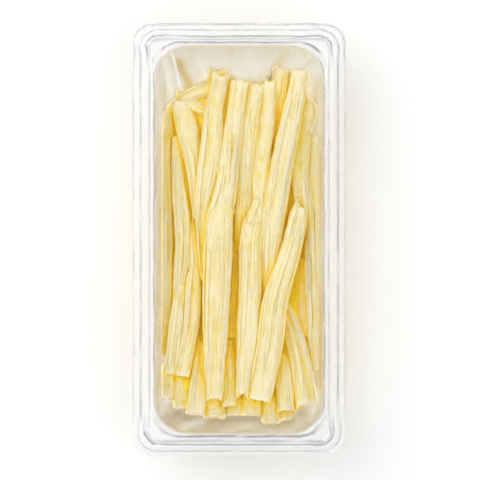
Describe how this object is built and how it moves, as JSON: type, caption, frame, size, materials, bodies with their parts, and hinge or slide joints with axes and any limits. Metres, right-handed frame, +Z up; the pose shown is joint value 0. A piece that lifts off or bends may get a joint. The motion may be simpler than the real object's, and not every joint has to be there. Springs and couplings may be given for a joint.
{
  "type": "tray of string cheese",
  "caption": "Sealed clear tray with a stepped rim, holding a loose heap of long pulled cheese strands under clear film drawn down over the food.",
  "frame": {"origin": "on the table under the middle of the tray", "axes": "+X across the tray, +Y along the strands towards the end with the wider free margin, +Z up out of the tray"},
  "size_m": [0.093, 0.19, 0.03],
  "materials": {
    "tray_plastic": "clear glossy thermoformed sheet",
    "film_plastic": "clear stretched film with soft folds",
    "cheese": "moist pulled curd with fine fibres along the strands"
  },
  "bodies": {
    "root": {"tray": "tray_plastic", "cheese_heap": "cheese", "film": "film_plastic"}
  },
  "joints": []
}
